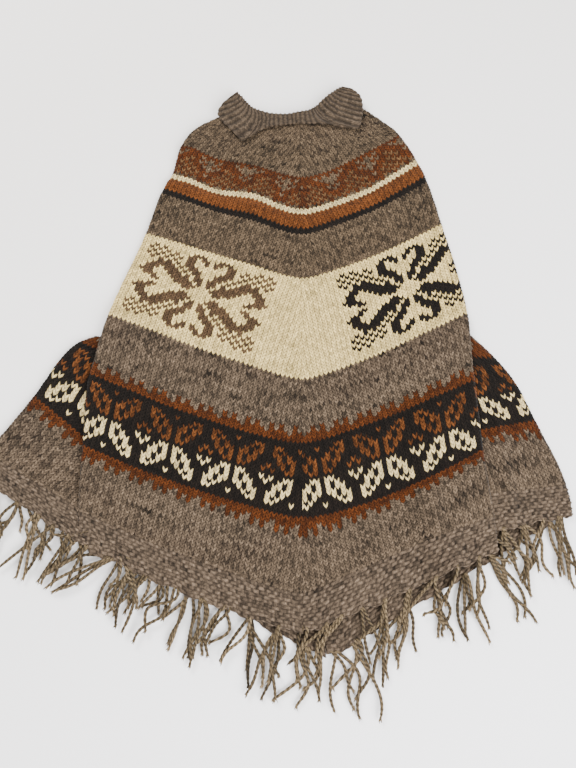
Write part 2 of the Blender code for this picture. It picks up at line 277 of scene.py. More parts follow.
def knit_mesh(name, parts):
    """A mesh of quads from parts, each a dictionary of arrays: points, quads, colour, yarn, and the hollows
    that the material darkens as painted shade.
    """
    starts = np.cumsum([0] + [len(part["points"]) for part in parts])
    quads = np.concatenate([part["quads"] + start for part, start in zip(parts, starts)])
    points, shaded_hollows, colours, yarns = (
        np.concatenate([part[key] for part in parts])
        for key in ("points", "shaded_hollows", "colours", "yarns")
    )
    mesh = bpy.data.meshes.new(name)
    mesh.vertices.add(len(points))
    mesh.vertices.foreach_set("co", (points * MM).astype(np.float32).ravel())
    mesh.loops.add(quads.size)
    mesh.loops.foreach_set("vertex_index", quads.astype(np.int32).ravel())
    mesh.polygons.add(len(quads))
    mesh.polygons.foreach_set("loop_start", np.arange(0, quads.size, 4, dtype=np.int32))
    mesh.polygons.foreach_set("use_smooth", np.ones(len(quads), bool))
    mesh.update(calc_edges=True)
    colour = mesh.color_attributes.new("yarn_colour", "FLOAT_COLOR", "CORNER")
    colour.data.foreach_set("color", np.repeat(colours, 4, axis=0).astype(np.float32).ravel())
    # The hollows' depths, which the material turns into painted shade.
    shaded_hollow = mesh.attributes.new("shaded_hollow", "FLOAT", "POINT")
    shaded_hollow.data.foreach_set("value", shaded_hollows.astype(np.float32))
    uv = mesh.uv_layers.new(name="yarn")
    uv.data.foreach_set("uv", yarns.astype(np.float32).ravel())
    mesh.validate()
    piece = bpy.data.objects.new(name, mesh)
    bpy.context.scene.collection.objects.link(piece)
    return piece


COLUMN_PITCH = 6.8            # width of a stitch, across
SLANT = 0.9                   # courses that a leg climbs from the middle of its stitch
RELIEF = 1.7                  # depth of the grooves
PROUD = 0.5                   # how far the crests stand over the wall
LEG_LENGTH, LEG_WIDTH = 9.0, 3.4    # of the yarn in one leg of a stitch, on the yarn's own map
rng = np.random.default_rng(11)


def lattice(laid, lines, wales, counts, steps, side, colours_of, keep, slant=SLANT,
            relief=knit_relief, depth=RELIEF, proud=PROUD, up=1, pitch=COLUMN_PITCH, rim=None):
    """Knitting as a grid: columns of stitches by courses, each stitch a few quads.

    A point of the grid is at line(count) - pitch * column across, on the laid wall, and then out
    along the wall's normal by half the wall and the relief. Inside a stitch, the count falls by
    the slant from its middle to its sides. Below the count of a rim, the point turns round the
    cloth's edge instead, by a half circle over a course and a half.
    """
    nu, nv = steps
    w = np.arange(wales[0] * nu, wales[1] * nu + 1) / nu
    c = np.arange(counts[0] * nv, counts[1] * nv + 1) / nv
    w, c = np.meshgrid(w, c)
    u, v = np.mod(w, 1), np.mod(-c, 1)
    stitch = (np.floor(c).astype(int) - counts[0]), (np.floor(w).astype(int) - wales[0])
    shape = (counts[1] - counts[0] + 1, wales[1] - wales[0] + 1)
    chance = rng.normal(0, 1, shape)[stitch]
    count = c - slant * (np.abs(2 * u - 1) - 0.5)
    count = count + 0.05 * np.sin(w * 1.7 + c * 0.3) + 0.04 * np.sin(w * 0.37 - c * 0.9)
    turned = np.clip(count - (rim or 1e9), 0, 1.5) / 1.5 * math.pi
    if rim:
        count = np.minimum(count, rim)
    across = lines(count) - pitch * (w + 0.05 * np.sin(c * 1.1 + w * 0.6))
    inside = np.maximum(across, 0)

    here, ends = laid(side, count, inside)
    over, _ = laid(side, count, inside + 0.4)
    above, _ = laid(side, count - 0.05, inside)
    outwards = (here - above) / np.maximum(np.linalg.norm(here - above, axis=-1, keepdims=True), 1e-9)
    normal = np.cross(over - here, outwards) * -side
    normal /= np.maximum(np.linalg.norm(normal, axis=-1, keepdims=True), 1e-9)
    # The relief's depth, which also sets the painted shade in the material.
    shaded_hollow = -relief(u, v, w, c)
    height = WALL / 2 + proud - depth * shaded_hollow + 0.1 * chance
    turned = turned[..., None]
    points = here + height[..., None] * (normal * up * np.cos(turned) + outwards * np.sin(turned))
    points[..., 1] -= ORIGIN_Y

    rows, columns = w.shape
    corner = np.arange(rows * columns).reshape(rows, columns)
    quads = np.stack([corner[:-1, :-1], corner[1:, :-1], corner[1:, 1:], corner[:-1, 1:]], axis=-1)
    order = [(0, 0), (1, 0), (1, 1), (0, 1)]
    if side * up > 0:
        quads, order = quads[..., ::-1], order[::-1]
    middle_w = np.floor((w[:-1, :-1] + w[1:, 1:]) / 2 + 1e-6).astype(int)
    middle_c = np.floor((c[:-1, :-1] + c[1:, 1:]) / 2 + 1e-6).astype(int)
    centre = (across[:-1, :-1] + across[1:, 1:]) / 2
    biggest = np.maximum(np.maximum(across[:-1, :-1], across[1:, 1:]),
                         np.maximum(across[1:, :-1], across[:-1, 1:]))
    kept = (biggest > 0.05) & keep(centre, (count[:-1, :-1] + count[1:, 1:]) / 2, ends[:, :-1, :-1])

    leg = (np.mod((w[:-1, :-1] + w[1:, 1:]) / 2, 1) > 0.5).astype(float)
    place = rng.uniform(0, 60, shape)[middle_c - counts[0], middle_w - wales[0]] + 17 * leg
    along_leg, across_leg = np.abs(u - 0.5) * LEG_LENGTH, v * LEG_WIDTH
    corners = []
    for down, right in order:
        part = slice(down, rows - 1 + down), slice(right, columns - 1 + right)
        wraps = across_leg[part] < 1e-6
        top = np.where(wraps, 0.0 if down else LEG_WIDTH, across_leg[part])
        corners.append(np.stack([along_leg[part] + place, top + place * 0.7], axis=-1))
    return {
        "points": points.reshape(-1, 3),
        "shaded_hollows": shaded_hollow.ravel(),
        "quads": quads[kept],
        "colours": colours_of(side, middle_w, middle_c)[kept],
        "yarns": np.stack(corners, axis=-2)[kept].reshape(-1, 2),
    }


def tidy_part(part):
    """Drops the points that no quad uses."""
    used, quads = np.unique(part["quads"], return_inverse=True)
    quads = quads.reshape(part["quads"].shape)
    return {**part, "points": part["points"][used], "shaded_hollows": part["shaded_hollows"][used], "quads": quads}


# The yarns, as linear colours, each with how strongly its two plies and its fibres differ.
YARNS = {
    "grey": (0.068, 0.048, 0.0315, 0.95),
    # The upper grey is the grey yarn darkened as painted shade, for the upper front where less light falls.
    "shaded_upper_grey": (0.062, 0.0425, 0.0255, 0.95),
    "border_grey": (0.080, 0.057, 0.039, 0.8),
    "cream": (0.53, 0.395, 0.155, 0.48),
    "white": (0.50, 0.385, 0.180, 0.42),
    "rust": (0.050, 0.0135, 0.0026, 0.75),
    "leaf_rust": (0.072, 0.0235, 0.0058, 0.75),
    "tan": (0.086, 0.0265, 0.0058, 0.60),
    "black": (0.006, 0.0040, 0.0028, 0.60),
    "taupe": (0.058, 0.034, 0.017, 0.60),
    "fleck": (0.078, 0.050, 0.028, 0.60),
    "speck": (0.076, 0.038, 0.015, 0.60),
}
YARN_LIST = list(YARNS)
YARN_TABLE = np.array([YARNS[name] for name in YARN_LIST])
yarn_number = {name: i for i, name in enumerate(YARN_LIST)}

# The leaf band's repeat: leaves of rust over leaves of cream, on black.
LEAF_CHART = [
    ".............",
    ".............",
    "rr...r...rr..",
    "r.r.....r.r..",
    "rr.r...r.rr..",
    ".r.rr.rr.r...",
    ".rr.r.r.rr...",
    "..r.r.r.r...r",
    "r..rr.rr...r.",
    ".............",
    "c..cc.cc...c.",
    "..c.c.c.c...c",
    ".cc.c.c.cc...",
    ".c.cc.cc.c...",
    "cc.c...c.cc..",
    "c.c.....c.c..",
    "cc...c...cc..",
    ".............",
    ".............",
]

# A quarter of the flower, from its middle stitch outwards and, row by row, from its middle up:
# half of a side heart, half of a top heart, and the checks between them.
FLOWER_CHART = [
    "...............",
    "...xx.....xx...",
    "..xxxxx....xxx.",
    ".x.xxxxx....xxx",
    ".xx.xxxxx...xx.",
    ".xx.x.xxxx.xxx.",
    "..xx.x.xxxxxx..",
    "..xxx.x.xxxx...",
    "...xxx.x.x.x.x.",
    "....xx..x.x.x.x",
    ".x..xx.x.x.x.x.",
    ".xx.xx..x.x.x.x",
    "..xxx......x.x.",
]


FLOWER_COUNT = 68             # course of the flower's middle stitch
FLOWER_WALES = {-1: 16, 1: 9}
WHOLE_LEAVES = 46             # columns of the left half before its last whole leaf ends


def chart(rows):
    """A chart's characters, as an array."""
    return np.array([list(row) for row in rows])


LEAVES = chart(LEAF_CHART)
FLOWER = chart(FLOWER_CHART)


def yarn_at(side, wale, count):
    """Which yarn each stitch is knitted in: the plain bands, and the charts over them. The upper bands take
    the grey darkened as painted shade.
    """
    yarn = np.full(wale.shape, yarn_number["grey"])

    def paint(where, name):
        yarn[where] = yarn_number[name]

    def courses(first, last):
        return (count >= first) & (count < last)

    # Triangles of checks, one way up and the other, either side of a plain zigzag.
    row = count - START["diamond_band"]
    band = (row >= 0) & (row < 11)
    wave = np.abs(np.mod(wale + 2, 9) - 4.5) * 2
    above, below = row - wave, wave - row
    checks = np.mod(wale + count, 2) == 0
    paint(band, "rust")
    paint(band & (above < -1) & (row > 0) & (row < 8) & checks, "fleck")
    paint(band & (above < -4) & (row > 1) & (row < 5) & ~checks, "shaded_upper_grey")
    paint(band & (below < -1) & (row > 1) & (row < 10) & checks, "speck")
    paint(band & (row == 10) & (np.mod(wale, 3) != 0), "shaded_upper_grey")
    paint(count < START["diamond_band"], "shaded_upper_grey")
    paint(count >= BORDER_COUNT, "border_grey")

    stripe = START["white_stripe"]
    paint(courses(stripe, stripe + 2), "white")
    paint(courses(stripe + 2, stripe + 7), "tan")
    paint(courses(stripe + 7, START["shaded_upper_grey"]), "black")
    paint(courses(START["shaded_upper_grey"], START["flower_band"]), "shaded_upper_grey")
    paint(courses(START["flower_band"], START["lower_grey"]), "cream")

    a, b = np.abs(wale - FLOWER_WALES[side]), np.abs(FLOWER_COUNT - count)
    on = (a < FLOWER.shape[1]) & (b < FLOWER.shape[0])
    drawn = FLOWER[np.where(on, b, 0), np.where(on, a, 0)] == "x"
    paint(on & drawn, "taupe" if side < 0 else "black")

    # The leaf band: teeth of rust along both its edges, and the leaves on black between them.
    teeth = np.mod(wale * 2, 5)
    for step in (count - START["leaf_band"], START["hem_grey"] - 1 - count):
        tooth = (step >= 3) | ((step == 2) & (teeth < 4)) | ((step <= 1) & (teeth < 2))
        paint((step >= 0) & (step < 5) & tooth, "rust")
    band = courses(START["leaf_black"], START["leaf_end"])
    paint(band, "black")
    up = np.clip(count - START["leaf_black"], 0, LEAVES.shape[0] - 1)
    cell = LEAVES[up, np.mod(wale - 1 if side < 0 else 1 - wale, LEAVES.shape[1])]
    whole = (wale < WHOLE_LEAVES) | (side > 0)
    paint(band & whole & (cell == "r"), "leaf_rust")
    paint(band & whole & (cell == "c"), "white")
    return yarn


def scatter(seed, spread=43758.5453):
    """From 0 to 1, with no order to it: the fraction of a large number times the seed's sine."""
    return np.mod(np.sin(seed) * spread, 1)


def stitch_colours(side, wale, count):
    """A colour for each stitch: its yarn's, lighter or darker along the uneven handspun yarn.

    The yarn runs round each course, so the change is a slow wave along the course, with a new
    start on every course, and a little chance.
    """
    colours = YARN_TABLE[yarn_at(side, wale, count)].copy()
    phase = scatter(count * 12.9898 + side) * 2 * math.pi
    wave = np.sin(wale * 0.35 + phase) + 0.7 * np.sin(wale * 0.13 - 2 * phase)
    streak = scatter(count * 78.233, 12543.123) - 0.5
    leg = np.arange(wale.shape[1]) // 2
    chance = scatter(wale * 127.1 + count * 311.7 + side * 5) - 0.5
    leg_chance = scatter(leg * 269.5 + count * 183.3 + side * 9) - 0.5
    amount = 1 + colours[..., 3] * (0.12 * wave + 0.22 * streak + 0.35 * chance + 1.2 * leg_chance)
    colours[..., :3] *= amount[..., None]
    return colours


class Value:
    """A socket that Python's operators turn into Math nodes."""

    def __init__(self, tree, socket):
        self.tree, self.socket = tree, socket

    def math(self, operation, *others):
        node = self.tree.nodes.new("ShaderNodeMath")
        node.operation = operation
        for slot, value in zip(node.inputs, (self, *others)):
            if isinstance(value, Value):
                self.tree.links.new(value.socket, slot)
            else:
                slot.default_value = value
        return Value(self.tree, node.outputs[0])

    def __add__(self, other):
        return self.math("ADD", other)

    def __mul__(self, other):
        return self.math("MULTIPLY", other)

    def __sub__(self, other):
        return self.math("SUBTRACT", other)

    def __rsub__(self, other):
        return (self * -1) + other

    __radd__, __rmul__ = __add__, __mul__


class Maker:
    """A material's nodes: one method makes any node from its settings and its sockets."""

    def __init__(self, name):
        self.material = bpy.data.materials.new(name)
        self.material.use_nodes = True
        self.tree = self.material.node_tree
        self.shader = self.tree.nodes["Principled BSDF"]

    def node(self, kind, settings=(), output=0, **sockets):
        node = self.tree.nodes.new(kind)
        for key, value in dict(settings).items():
            setattr(node, key, value)
        for key, value in sockets.items():
            slot = node.inputs[int(key[1:])] if key[1:].isdigit() else node.inputs[key.replace("_", " ")]
            self.put(slot, value)
        return Value(self.tree, node.outputs[output])

    def put(self, slot, value):
        if isinstance(value, Value):
            self.tree.links.new(value.socket, slot)
        else:
            slot.default_value = value

    def set(self, **sockets):
        for key, value in sockets.items():
            self.put(self.shader.inputs[key.replace("_", " ")], value)
        return self.material


def wool(name, twist=0.42, ply=0.5, groove_shade=1.2):
    """Two-ply wool: the yarn's own colour, its plies as a slanting wave, and its fibres, with painted
    shade: darker in the hollows between stitches and lighter on their crests.
    """
    make = Maker(name)
    colour = make.node("ShaderNodeVertexColor", {"layer_name": "yarn_colour"})
    strength = make.node("ShaderNodeVertexColor", {"layer_name": "yarn_colour"}, output=1)
    yarn = make.node("ShaderNodeUVMap", {"uv_map": "yarn"})
    stretched = make.node("ShaderNodeMapping", {}, Vector=yarn, Scale=(0.55, 2.6, 1.0))
    fibre = make.node("ShaderNodeTexNoise", {}, Vector=stretched, Scale=1.6, Detail=3.0)
    patch = make.node("ShaderNodeTexNoise", {}, Vector=yarn, Scale=0.45, Detail=2.0)
    across = make.node("ShaderNodeSeparateXYZ", {}, output=0, Vector=yarn)
    beside = make.node("ShaderNodeSeparateXYZ", {}, output=1, Vector=yarn)
    plies = ((across * twist + beside * ply + patch * 2.5) * (2 * math.pi)).math("SINE")
    shade = 1 + strength * (plies * 0.25 + (fibre - 0.5) * 2.4 + (patch - 0.5) * 1.8)
    shaded_hollow = make.node("ShaderNodeAttribute", {"attribute_name": "shaded_hollow"}, output=2)
    # Painted shade: the colour is darkened in the hollows and lightened on the crests, as light would fall
    # on the relief.
    shade = shade * (1.25 - groove_shade * shaded_hollow).math("MAXIMUM", 0.1)
    tinted = make.node("ShaderNodeVectorMath", {"operation": "SCALE"}, Vector=colour, Scale=shade)
    bump = make.node("ShaderNodeBump", {}, Strength=0.7, Distance=0.0006,
                     Height=fibre * 0.8 + plies * 0.25)
    return make.set(Base_Color=tinted, Roughness=0.92, Normal=bump, Specular_IOR_Level=0.08,
                    Sheen_Weight=0.06, Sheen_Roughness=0.5)


knit_wool = wool("stocking_stitch_wool")


def main_lines(side):
    column = "left" if side < 0 else "right"
    return lambda count: along(COLUMN_LINES, column, count)


def keep_main(centre, count, ends):
    """The visible cloth as far as the hidden run, or the whole return above the pleat."""
    under = np.minimum((ends[1] + ends[2]) / 2, ends[1] + 10)
    return centre < np.where(count < FLARE_COUNT, ends[1] + RETURN_LENGTH, under)


def flare_lines(side):
    return lambda count: laid_front(side, count, np.zeros_like(count))[1][4]


def keep_flare(centre, count, ends):
    under = np.maximum((ends[1] + ends[2]) / 2, ends[2] - 10)
    return (centre > under) & (centre < ends[5] + RETURN_LENGTH) & (count >= FLARE_COUNT)


def widest(counts, side):
    """Columns that a half of the front needs, with some to spare beyond its fold."""
    line = main_lines(side)(np.arange(counts[0], counts[1] + 1.0))
    return (-4 if counts[1] <= FLARE_COUNT else -2, int(line.max() / COLUMN_PITCH) + 2)


FINE, PLAIN = (4, 4), (4, 2)
front_pieces = []
for name, counts in (("front_yoke", (0, 54)), ("front_chest", (54, 98)), ("front_skirt", (98, 141))):
    halves = [
        tidy_part(lattice(laid_front, main_lines(side), widest(counts, side), counts, FINE, side,
                          stitch_colours, keep_main))
        for side in (-1, 1)
    ]
    front_pieces.append(knit_mesh(name, halves))
flares = [
    tidy_part(lattice(laid_front, flare_lines(side), (-3, 28), (98, 141), FINE, side,
                      stitch_colours, keep_flare))
    for side in (-1, 1)
]
front_pieces.append(knit_mesh("front_flares", flares))
for piece in front_pieces:
    piece.data.materials.append(knit_wool)
    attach(piece, "root")
    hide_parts("front")

# ---------------------------------------------------------------------------------------------
# The front's border, ten courses of moss stitch in the same grey, whose plain and purl bumps
# take turns along each course. Its cast-off edge waves a little and stands off the back.
# ---------------------------------------------------------------------------------------------
MOSS_PITCH = 5.2


def moss_relief(u, v, w, c):
    """Short rounded bars in rows, each row's half a bar along from the last, a little shaken."""
    w = w + 0.16 * np.sin(1.9 * c + 0.7 * w) + 0.10 * np.sin(2.9 * w + 1.3 * c)
    c = c + 0.09 * np.sin(1.3 * w + 0.8 * c)
    bar = np.abs(np.sin(math.pi * (w + np.floor(c)) / 2)) ** 0.7
    return bar * np.sqrt(np.abs(np.sin(math.pi * np.mod(c, 1)))) - 1


def waved(laid):
    """The same laid cloth, with waves along its hem and the hem lifted a little."""

    def laid_waved(side, count, across):
        points, ends = laid(side, count, across)
        share = np.clip((count - BORDER_COUNT) / (HEM_COUNT - BORDER_COUNT), 0, 1) ** 2
        wave = np.sin(across / 6.3 + side) + 0.7 * np.sin(across / 10.9 + 2 * side)
        points[..., 1] += share * 1.6 * wave
        points[..., 2] += share * (1.3 + 0.7 * np.sin(across / 15.0 + 1))
        return points, ends

    return laid_waved


def keep_border(centre, count, ends):
    """All but the middle of a hidden run."""
    hidden = (centre > ends[1] + 8) & (centre < ends[2] - 8)
    return ~hidden & (centre < ends[5] + RETURN_LENGTH)


def from_centre(count):
    return np.zeros_like(count)


moss_wool = wool("moss_stitch_wool", groove_shade=1.0)
moss = dict(slant=0, relief=moss_relief, depth=2.3, proud=0.8, pitch=-MOSS_PITCH, rim=HEM_COUNT)
halves = [
    tidy_part(lattice(waved(laid_front), from_centre, (0, 96), (140, 153), (3, 3), side,
                      stitch_colours, keep_border, **moss))
    for side in (-1, 1)
]
piece = knit_mesh("border_front_knit", halves)
piece.data.materials.append(moss_wool)
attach(piece, "root")
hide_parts("border_front")

# ---------------------------------------------------------------------------------------------
# The back of the body, the same stocking stitch and bands, lying face down with its edges just
# inside the front's returns. Its inner face is out of sight.
# ---------------------------------------------------------------------------------------------
BACK_LEVEL = WALL / 2
BACK_GAP = 1.5
Row = namedtuple("Row", "name count centre_x centre_y left_y right_y")
BACK_COURSES = [
    Row("neck", 0, 0, 797, 805, 814),
    Row("shoulder", 8, 0, 755, 783, 786),
    Row("yoke", 20, 0, 690, 742, 765),
    Row("chest", 40, 0, 587, 660, 680),
    Row("waist", 68, 5, 440, 510, 520),
    Row("flare_start", 92, 10, 340, 415, 417),
    Row("flare", 117, 20, 170, 337, 318),
    Row("border", 141, 28, 20, 243, 196),
    Row("hem", 151, 30, -32, 213, 150),
]


def return_line(side):
    """Where the front's return ends on the underside: places across against heights up."""
    counts = np.concatenate([np.arange(0, 83, 4.0), np.arange(98, 152, 3.0), [151.0]])
    _, ends = laid_front(side, counts, np.zeros_like(counts))
    last = np.where(counts < FLARE_COUNT, ends[1], ends[5]) + RETURN_LENGTH
    points, _ = laid_front(side, counts, last - 1e-6)
    order = np.argsort(points[:, 1])
    return points[order, 1], points[order, 0]


RETURN_LINES = {side: return_line(side) for side in (-1, 1)}


def laid_back(side, count, across):
    """Where the middle of the back's wall lies: straight courses out to the front's return."""
    def column(key):
        return np.interp(count, [row.count for row in BACK_COURSES],
                         [getattr(row, key) for row in BACK_COURSES])

    end_y = column("left_y" if side < 0 else "right_y")
    end_x = np.interp(end_y, *RETURN_LINES[side]) - side * BACK_GAP
    edge = np.maximum(np.abs(end_x - column("centre_x")), 1.0)
    s = np.minimum(across, edge)
    y = column("centre_y") + (end_y - column("centre_y")) * rounded(s) / rounded(edge)
    points = np.stack([column("centre_x") + side * s, y, BACK_LEVEL + collar_rise(y)], axis=-1)
    points[..., 0] += side * np.minimum(across - s, 0.01)
    return points, np.stack([edge] * 6)


def back_lines(side):
    return lambda count: np.interp(
        count, [0, 20, 40, 54, 84, 98, 141, 151],
        [118, 172, 208, 228, 268, 292, 372, 392])


def keep_back(centre, count, ends):
    return centre < ends[0] + 2


for name, counts, flat, area in (
    ("back_upper", (0, 76), (0.53, 0.40), 0.150),
    ("back_lower", (76, 141), (0.80, 0.40), 0.229),
):
    halves = [
        tidy_part(lattice(laid_back, back_lines(side), (-18, 55), counts, PLAIN, side,
                          stitch_colours, keep_back, proud=-0.1, up=-1))
        for side in (-1, 1)
    ]
    piece = knit_mesh(name, halves)
    piece.data.materials.append(knit_wool)
    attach(piece, "root")
    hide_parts("back")

# ---------------------------------------------------------------------------------------------
# The back's border, moss stitch on both faces, since its inner face shows below the front's hem.
# ---------------------------------------------------------------------------------------------
halves = []
for side in (-1, 1):
    for up, proud in ((1, 0.7), (-1, -0.1)):
        halves.append(tidy_part(lattice(
            waved(laid_back) if up > 0 else laid_back, from_centre, (0, 96),
            (141, 153 if up > 0 else 151), (3, 3), side, stitch_colours, keep_back,
            **{**moss, "up": up, "proud": proud})))
piece = knit_mesh("border_back_knit", halves)
piece.data.materials.append(moss_wool)
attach(piece, "root")
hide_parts("border_back")

# ---------------------------------------------------------------------------------------------
# The collar, ribbed, picked up round the neck and turned down. On the front it falls over the
# yoke with a soft leaf at each side, where the ribs bend outwards; under the back it is short.
# ---------------------------------------------------------------------------------------------
Rib = namedtuple("Rib", "number fold_x fold_y bend_x bend_y free_x free_y lift seam_x")
COLLAR = [
    Rib(0, -103, 853, -110, 846, -117, 838, 0.5, -121),
    Rib(1, -100, 849, -106, 840, -126, 828, 0.5, -118),
    Rib(2, -96, 845, -101, 830, -133, 815, 0.8, -114),
    Rib(3, -93, 840, -96, 822, -134, 805, 1.2, -109),
    Rib(4, -90, 836, -90, 814, -129, 795, 1.6, -104),
    Rib(5, -87, 832, -84, 807, -122, 786, 2.0, -98),
    Rib(6, -84, 828, -77, 800, -114, 777, 2.4, -92),
    Rib(7, -80, 824, -70, 793, -105, 767, 2.6, -86),
    Rib(8, -75, 821, -62, 787, -92, 755, 2.6, -79),
    Rib(10, -62, 816, -57, 797, -61, 777, 2.0, -64),
    Rib(12, -46, 812, -46, 798, -46, 782, 1.8, -48),
    Rib(15.5, -22, 811, -21, 799, -20, 787, 0.5, -23),
    Rib(18, -4, 815, -4, 803, -3, 789, 0.0, -4),
    Rib(20.5, 12, 818, 15, 804, 18, 788, 1.2, 14),
    Rib(22, 20, 822, 24, 803, 36, 787, 2.5, 26),
    Rib(24, 27, 827, 34, 793, 88, 777, 2.5, 40),
    Rib(25, 32, 833, 44, 801, 97, 786, 2.0, 51),
    Rib(26, 37, 839, 50, 810, 99, 795, 1.2, 62),
    Rib(27, 42, 844, 54, 819, 101, 804, 0.8, 72),
    Rib(28, 47, 849, 58, 828, 102, 814, 0.5, 81),
    Rib(29, 52, 853, 62, 837, 102, 824, 0.5, 88),
    Rib(30, 56, 856, 66, 845, 101, 834, 0.5, 94),
    Rib(31, 60, 859, 70, 851, 98, 843, 0.5, 99),
    Rib(32, 64, 861, 74, 857, 92, 850, 0.5, 103),
    Rib(33, 68, 862, 77, 860, 86, 855, 0.5, 106),
]
BACK_COLLAR_DROP = 4.0
FOLD_DOWN, BEND_DOWN, FREE_DOWN = 5, 4, 2    # how far each line lies below the table's
NECK_Y, LEFT_SLOPE, RIGHT_SLOPE = 798, 9 / 122, 19 / 104


def rib_table(column, at):
    """A column of the collar's table, read along it."""
    values = np.array([getattr(rib, column) for rib in COLLAR], float)
    slopes = np.gradient(values)
    k = np.clip(np.floor(at).astype(int), 0, len(COLLAR) - 2)
    return hermite(values, slopes, k, at - k)


def laid_collar(place, share, upside, drop, plain):
    """Middle of the collar's wall: the fall from its free edge, the fold, then the stand.

    place runs along the collar's table and share from 0 at the free edge to 1 at the fold, 2 at
    the end of its half circle and 3 at the seam.
    """
    def at(column):
        return rib_table(column, place)

    fold = np.stack([at("fold_x"), at("fold_y") - drop], axis=-1)
    bend = np.stack([at("bend_x"), at("bend_y") - drop], axis=-1)
    free = np.stack([at("free_x"), at("free_y")], axis=-1)
    seam_x = at("seam_x")
    neck_y = NECK_Y + np.where(seam_x < 0, LEFT_SLOPE, RIGHT_SLOPE) * np.abs(seam_x)
    seam = np.stack([seam_x, neck_y], axis=-1)
    fold[..., 1] -= FOLD_DOWN
    bend[..., 1] -= BEND_DOWN
    free[..., 1] -= FREE_DOWN
    if plain:
        bend = seam + (fold - seam) * 0.2
        free = seam + (fold - seam) * -0.75
    heading = fold - bend
    heading /= np.linalg.norm(heading, axis=-1, keepdims=True)
    top = fold - heading * (FOLD_RADIUS + WALL / 2)
    t = np.clip(share, 0, 1)[..., None]
    fall = free * (1 - t) ** 2 + 2 * bend * t * (1 - t) + top * t * t
    turn = math.pi * np.clip(share - 1, 0, 1)
    rest = np.clip(share - 2, 0, 1)[..., None]
    xy = np.where(share[..., None] < 1, fall, top + (seam - top) * rest)
    xy = xy + heading * (FOLD_RADIUS * np.sin(turn))[..., None]
    stand = (FRONT_LEVEL if upside > 0 else BACK_LEVEL) + FOLD_DROP
    lift = 0.0 if plain else at("lift") * (1 - np.clip(share, 0, 1)) ** 2
    z = stand + upside * (FOLD_RADIUS * (1 + np.cos(turn)) + lift)
    return np.concatenate([xy, z[..., None]], axis=-1)


def collar_part(upside, drop, plain):
    """The collar's outer face: ribs along it, each one a column of stitches.

    The outer face of the fall looks up on the front and down under the back, and it is on the
    outside of the fold all the way to the seam. A rim closes its free edge.
    """
    numbers = [rib.number for rib in COLLAR]
    ribs = numbers[-1]
    w = np.arange(-2, ribs * 6 + 3) / 6
    share = np.concatenate([np.full(5, -1.0), np.linspace(0, 1, 57), np.linspace(1, 2, 11)[1:],
                            np.linspace(2, 3, 13)[1:]])
    edge = np.concatenate([np.linspace(1, 0, 6)[:-1], np.zeros(len(share) - 5)])
    w, share = np.meshgrid(w, share)
    edge = np.broadcast_to(edge[:, None], w.shape)
    place = np.interp(w, numbers, np.arange(len(COLLAR)))
    place = np.clip(place, 0.001, len(COLLAR) - 1.001)
    s = np.clip(share, 0.001, 2.999)
    here = laid_collar(place, s, upside, drop, plain)
    along_w = laid_collar(np.minimum(place + 0.01, len(COLLAR) - 1), s, upside, drop, plain) - here
    along_s = laid_collar(place, s + 0.001, upside, drop, plain) - here
    normal = np.cross(along_s, along_w) * upside * -1
    normal /= np.maximum(np.linalg.norm(normal, axis=-1, keepdims=True), 1e-9)
    outwards = -along_s / np.maximum(np.linalg.norm(along_s, axis=-1, keepdims=True), 1e-9)
    rib = 0.5 + 0.5 * np.cos(2 * math.pi * w)
    stitches = 0.5 + 0.5 * np.cos(2 * math.pi * (share * 9 + 0.25 * np.cos(4 * math.pi * w)))
    # The hollows between ribs and between stitches, for the relief and for the painted shade.
    shaded_hollow = 0.72 * (1 - rib) ** 1.2 + 0.38 * (1 - stitches) * rib
    turned = (edge * math.pi)[..., None]
    height = (WALL / 2 + 0.8 - 2.2 * shaded_hollow)[..., None]
    points = here + height * (normal * np.cos(turned) + outwards * np.sin(turned))
    points[..., 1] -= ORIGIN_Y
    rows, columns = w.shape
    corner = np.arange(rows * columns).reshape(rows, columns)
    quads = np.stack([corner[:-1, :-1], corner[:-1, 1:], corner[1:, 1:], corner[1:, :-1]], axis=-1)
    if upside < 0:
        quads = quads[..., ::-1]
    flat = quads.reshape(-1, 4)
    grey = np.tile(YARN_TABLE[yarn_number["grey"]], (len(flat), 1))
    stitch = np.floor(w[:-1, :-1] * 2) * 31.7 + np.floor(share[:-1, :-1] * 9) * 12.9
    chance = scatter(stitch) - 0.5
    grey[:, :3] *= 0.86 * (1 + 0.75 * chance.reshape(-1, 1))
    yarn = np.stack([share * 40, w * 5], axis=-1).reshape(-1, 2)[flat].reshape(-1, 2)
    return {"points": points.reshape(-1, 3), "shaded_hollows": shaded_hollow.ravel(), "quads": flat,
            "colours": grey, "yarns": yarn}


for name, node, part, flat, area, lies_on in (
    ("collar_front_rib", "collar_front", collar_part(1, 0.0, False), (0.29, 0.075), 0.020, "front"),
    ("collar_back_rib", "collar_back", collar_part(-1, BACK_COLLAR_DROP, True), (0.29, 0.055), 0.0145,
     "floor"),
):
    piece = knit_mesh(name, [part])
    piece.data.materials.append(knit_wool)
    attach(piece, "root")
    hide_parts(node)

# ---------------------------------------------------------------------------------------------
# The fringe: lengths of the two-ply yarn, drawn in twos to fours through the cast-off edges and
# left to fall as they like. Each is tightly twisted, and its cut end has frayed.
# ---------------------------------------------------------------------------------------------
STRAND_RADIUS = 2.5
PLY_TURN = 13.0               # length over which the two plies go once round each other
SHORTEST, LONGEST = 48, 92
HAIRS = 6                     # frayed ends of a strand, each of three rings of three points
HAIR_POINTS = 9
FRINGE_YARN = (0.105, 0.075, 0.042, 0.9)


